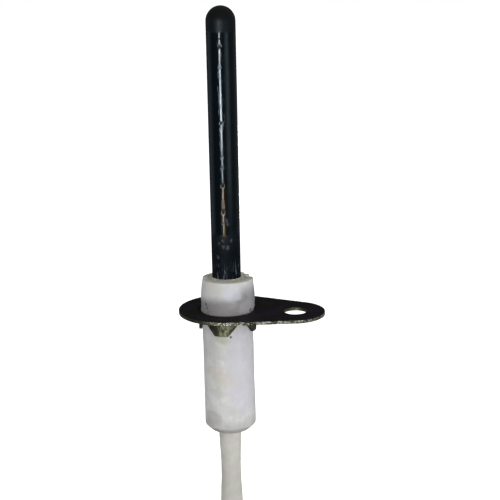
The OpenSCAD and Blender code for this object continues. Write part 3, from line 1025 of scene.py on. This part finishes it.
def make_tie(material):
    """A nylon tie: a thin strap round the hank, with its head at the front and its end cut short."""
    clear = LEAD_D / 2 + 0.05 + STRAP_T / 2
    x, front, back, over = FOLD_R + clear, -clear, HANK_STEP + clear, 2 * HANK_STEP + clear
    # x, y and radius of each corner; the strap reaches further back on the left, over the tail
    corners = [(-x, front, 1.3), (x, front, 1.3), (x, back, 1.3), (-7.9, over, 1.6), (-x, over, 1.3)]
    line = np.array([(p[0], p[1], TIE_Z) for p in split(rounded(corners, 6), 0.5)])
    tangents = np.roll(line, -1, 0) - np.roll(line, 1, 0)
    tangents /= np.linalg.norm(tangents, axis=1)[:, None]
    outward = np.cross(tangents, (0, 0, 1))
    section = strap_section()
    points = []
    for p, out in zip(line, outward):
        points += [p + out * u + np.array((0, 0, v)) for u, v in section]
    faces = tube_faces(len(line), len(section), True)
    strap = add_mesh("tie_strap", points, faces, material)
    head_low = (-2.5, box_mm("hank_tie")[0].y, TIE_Z - 3.0)
    head_high = (2.5, front + STRAP_T / 2 + 0.02, TIE_Z + 3.0)
    stub_low = (-4.6, front - STRAP_T - 0.5, TIE_Z - 1.9)
    stub_high = (-2.3, front - 0.6, TIE_Z + 1.9)
    head = block("tie_head", head_low, head_high, material, 0.35)
    stub = block("tie_stub", stub_low, stub_high, material, 0.15)
    return strap, head, stub


def block(name, low, high, material, soft):
    """A box with well rounded edges."""
    xs, ys, zs = zip(low, high)
    points = [(x, y, z) for x in xs for y in ys for z in zs]
    faces = [(0, 1, 3, 2), (4, 6, 7, 5), (0, 4, 5, 1), (2, 3, 7, 6), (0, 2, 6, 4), (1, 5, 7, 3)]
    obj = add_mesh(name, points, faces, material)
    bevel(obj, soft, 4)
    return obj


def refined(node, name, material, soft, segments=2):
    """A copy of a CAD node's mesh with its flat faces joined and its edges rounded."""
    mesh = frame["nodes"][node].data.copy()
    mesh.name = name
    mesh.materials.clear()
    mesh.materials.append(material)
    bm = bmesh.new()
    bm.from_mesh(mesh)
    bmesh.ops.remove_doubles(bm, verts=bm.verts, dist=1e-7)
    bmesh.ops.dissolve_limit(bm, angle_limit=math.radians(2), verts=bm.verts, edges=bm.edges)
    bm.to_mesh(mesh)
    bm.free()
    obj = new_object(name, mesh)
    bevel(obj, soft, segments, 32)
    return obj


# ---------------- floor and light


def stage_mesh(name, mesh, material, hidden):
    """A stage object that isn't met by the kinds of ray in hidden."""
    mesh.materials.append(material)
    obj = new_object(name, mesh)
    for ray in hidden:
        setattr(obj, "visible_" + ray, False)
    return obj


def rectangle(name, x, low, high, z=0.0):
    """A flat rectangle from -x to x and from low to high."""
    mesh = bpy.data.meshes.new(name)
    corners = [(-x, low, z), (x, low, z), (x, high, z), (-x, high, z)]
    mesh.from_pydata(corners, [], [(0, 1, 2, 3)])
    return mesh


def plain_floor(z):
    half = 6.0
    m = Shade("floor_pale", Specular_IOR_Level=0.0, Emission_Color=WHITE, Emission_Strength=0.55)
    m.colour(m.mix(m.noise(400, 2), (0.88, 0.88, 0.88), (0.90, 0.90, 0.90)))
    m.roughness(1.0)
    mesh = rectangle("floor", half, -half, half, z)
    stage_mesh("floor", mesh, m.material, ("diffuse", "glossy"))


def plain_backdrop():
    """A pale dome far outside, which only the camera sees."""
    m = Shade("backdrop_pale", Specular_IOR_Level=0.0, Emission_Color=WHITE, Emission_Strength=1.0)
    m.colour((0.0, 0.0, 0.0))
    mesh = bpy.data.meshes.new("backdrop")
    bm = bmesh.new()
    bmesh.ops.create_uvsphere(bm, u_segments=48, v_segments=24, radius=5.0)
    bm.to_mesh(mesh)
    bm.free()
    stage_mesh("backdrop", mesh, m.material, ("diffuse", "glossy", "transmission", "shadow"))


def dark_card():
    """A black card behind the object, seen in reflections only, which keeps the dark metal dark."""
    m = Shade("card_black", Specular_IOR_Level=0.0)
    m.colour((0.0, 0.0, 0.0))
    across, low, high, away = 0.45, -0.30, 0.42, 0.70
    mesh = rectangle("card", across, low, high)
    card = stage_mesh("card", mesh, m.material, ("camera", "diffuse", "transmission", "shadow"))
    back = direction(CAMERA_AZIMUTH + 180, 0)
    card.matrix_world = Matrix.Translation(back * away) @ facing(back)


def lamp(name, azimuth, height, distance, size, radiance):
    """An area lamp that faces the rod's axis: its direction, its height above the origin, and how
    bright its surface is."""
    data = bpy.data.lights.new(name, "AREA")
    data.shape = "RECTANGLE"
    data.size, data.size_y = size
    data.energy = radiance * math.pi * size[0] * size[1]
    obj = new_object(name, data)
    place = direction(azimuth, 0) * distance + Vector((0, 0, height))
    obj.matrix_world = Matrix.Translation(place) @ facing((place - Vector((0, 0, 0.01))).normalized())
    return obj


def soft_sky(bright_way, dark, bright):
    """A world that grows smoothly from dark to bright towards one direction."""
    world = bpy.data.worlds.new("studio")
    world.use_nodes = True
    tree = world.node_tree
    turn = tree.nodes.new("ShaderNodeVectorMath")
    turn.operation = "DOT_PRODUCT"
    turn.inputs[1].default_value = bright_way
    tree.links.new(tree.nodes.new("ShaderNodeTexCoord").outputs["Generated"], turn.inputs[0])
    level = tree.nodes.new("ShaderNodeMapRange")
    level.interpolation_type = "SMOOTHSTEP"
    level.inputs["From Min"].default_value = -1.0
    level.inputs["To Min"].default_value = dark
    level.inputs["To Max"].default_value = bright
    tree.links.new(turn.outputs["Value"], level.inputs["Value"])
    back = tree.nodes["Background"]
    back.inputs["Color"].default_value = WHITE
    tree.links.new(level.outputs["Result"], back.inputs["Strength"])
    bpy.context.scene.world = world


SOFT_LAMPS = [  # name, azimuth, height, distance, size and radiance; they light without reflections
    ("key", 44, 0.34, 1.10, (0.7, 0.6), 4.2),
    ("fill", -75, 0.05, 0.90, (0.5, 0.5), 1.3),
    ("top", 10, 1.30, 0.20, (0.9, 0.9), 1.2),
]
GLOSS_LAMPS = [  # the same and the colour; they are seen in reflections only
    ("streak_tip", 0, 0.034, 0.30, (0.046, 0.018), 190, (0.95, 0.97, 1.0)),
    ("streak_top", 0, 0.014, 0.30, (0.052, 0.042), 190, (0.95, 0.97, 1.0)),
    ("streak", 0, -0.012, 0.30, (0.048, 0.046), 105, (0.97, 0.98, 1.0)),
    ("streak_low", 0, -0.045, 0.30, (0.050, 0.020), 110, (1.0, 0.98, 0.95)),
    ("sheen", 55, 0.012, 0.34, (0.12, 0.10), 5.0, (0.85, 0.95, 0.92)),
    ("sheen_wide", 55, 0.005, 0.36, (0.27, 0.14), 2.6, (0.80, 0.95, 0.95)),
    ("back_streak", 191.8, -0.05, 0.32, (0.04, 0.09), 50, (0.95, 0.97, 1.0)),
    ("rim", -88, 0.010, 0.36, (0.26, 0.20), 1.6, (0.55, 0.75, 1.0)),
]


def light_scene():
    soft_sky(direction(45, 30), 0.34, 0.88)
    for row in SOFT_LAMPS:
        lamp(*row).visible_glossy = False
    for *row, colour in GLOSS_LAMPS:
        obj = lamp(*row)
        obj.data.color = colour
        obj.visible_diffuse = False
        if row[0] == "streak_tip":
            obj.data.shape = "ELLIPSE"
    bpy.context.scene.view_settings.view_transform = "Standard"


# ---------------- the object


make_camera()

silicone = lead_material()
lead, lead_line = make_lead(silicone)
nylon = nylon_material()
tie_parts = make_tie(nylon)
sleeve = make_sleeve(sleeving_material())
tinned = metal_material("tinned_brass", (0.55, 0.50, 0.36), (0.74, 0.70, 0.56), 0.24)
crimp = metal_material("tinned_crimp", (0.52, 0.51, 0.49), (0.68, 0.67, 0.65), 0.28)
copper = metal_material("bare_copper", (0.50, 0.22, 0.11), (0.78, 0.42, 0.26), 0.25)
cement = cement_material()

receptacle = refined("terminal", "receptacle_piece", tinned, 0.05)
end_strands = refined("terminal_strands", "end_strand_piece", copper, 0.03, 1)
boot = refined("terminal_boot", "boot_piece", boot_material(), 0.22, 3)
splice = refined("splice_barrel", "splice_piece", crimp, 0.06)
strands = refined("splice_strands", "splice_strand_piece", copper, 0.03, 1)
rod = make_rod(rod_material())
insulator = make_insulator(ceramic_material())
front_seal = make_front_cement(cement)
rear_seal = make_rear_cement(cement)
bracket = make_bracket(bracket_material())

PIECES = [  # piece, CAD node that it stands for, body, material slot
    (rod, "sensing_rod", "probe", "rod_metal"),
    (insulator, "insulator", "probe", "ceramic"),
    (front_seal, "front_cement", "probe", "cement"),
    (rear_seal, "rear_cement", "probe", "cement"),
    (bracket, "mounting_bracket", "bracket", "bracket_steel"),
    (splice, "splice_barrel", "probe", "crimp_metal"),
    (strands, "splice_strands", "probe", "copper"),
    (sleeve, "lead_sleeve", "probe", "sleeving"),
    (tie_parts[0], "hank_tie", "probe", "nylon"),
    (receptacle, "terminal", "probe", "terminal_brass"),
    (end_strands, "terminal_strands", "probe", "copper"),
    (boot, "terminal_boot", "boot", "boot_plastic"),
]
for piece, node, body, slot in PIECES:
    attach(piece, body)
    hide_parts(node)
for extra in tie_parts[1:]:
    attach(extra, "probe")

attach(lead, "probe")
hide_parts("lead_wire", "lead_hank", "lead_tail")

plain_floor(cad_box[0][2] - 0.006)
plain_backdrop()
dark_card()
light_scene()
